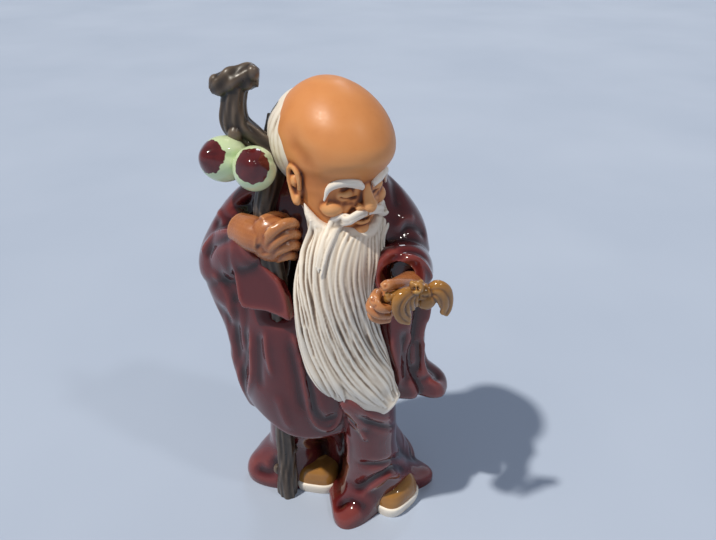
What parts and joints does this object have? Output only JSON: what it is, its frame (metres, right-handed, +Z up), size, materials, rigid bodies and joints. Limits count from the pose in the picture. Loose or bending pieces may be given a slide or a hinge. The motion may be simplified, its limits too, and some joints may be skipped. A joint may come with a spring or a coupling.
{
  "type": "ceramic figurine of a standing sage",
  "caption": "Glazed stoneware figurine of a bald, bearded old sage in a wide-sleeved robe, leaning on a gnarled staff hung with peaches and holding out a bat.",
  "frame": {"origin": "middle of the footprint, on the flat underside that the figure stands on", "axes": "+Z up, -Y the way he faces, -X his right-hand side with the staff"},
  "size_m": [0.1406, 0.1313, 0.3028],
  "materials": {
    "oxblood_glaze": "glossy dark red reduction glaze, browner and thinner on edges, near black where it pools",
    "bare_clay": "unglazed orange-brown stoneware with a soft sheen and a darker wash in the hollows",
    "white_slip": "dry white slip with a thin brown stain in the carved lines",
    "bark_glaze": "semi-matte dark brown glaze, lighter on the ridges",
    "celadon_glaze": "pale green gloss glaze",
    "amber_glaze": "transparent amber gloss glaze, darker in the carved lines"
  },
  "bodies": {
    "root": {"figurine": "oxblood_glaze"}
  },
  "joints": []
}
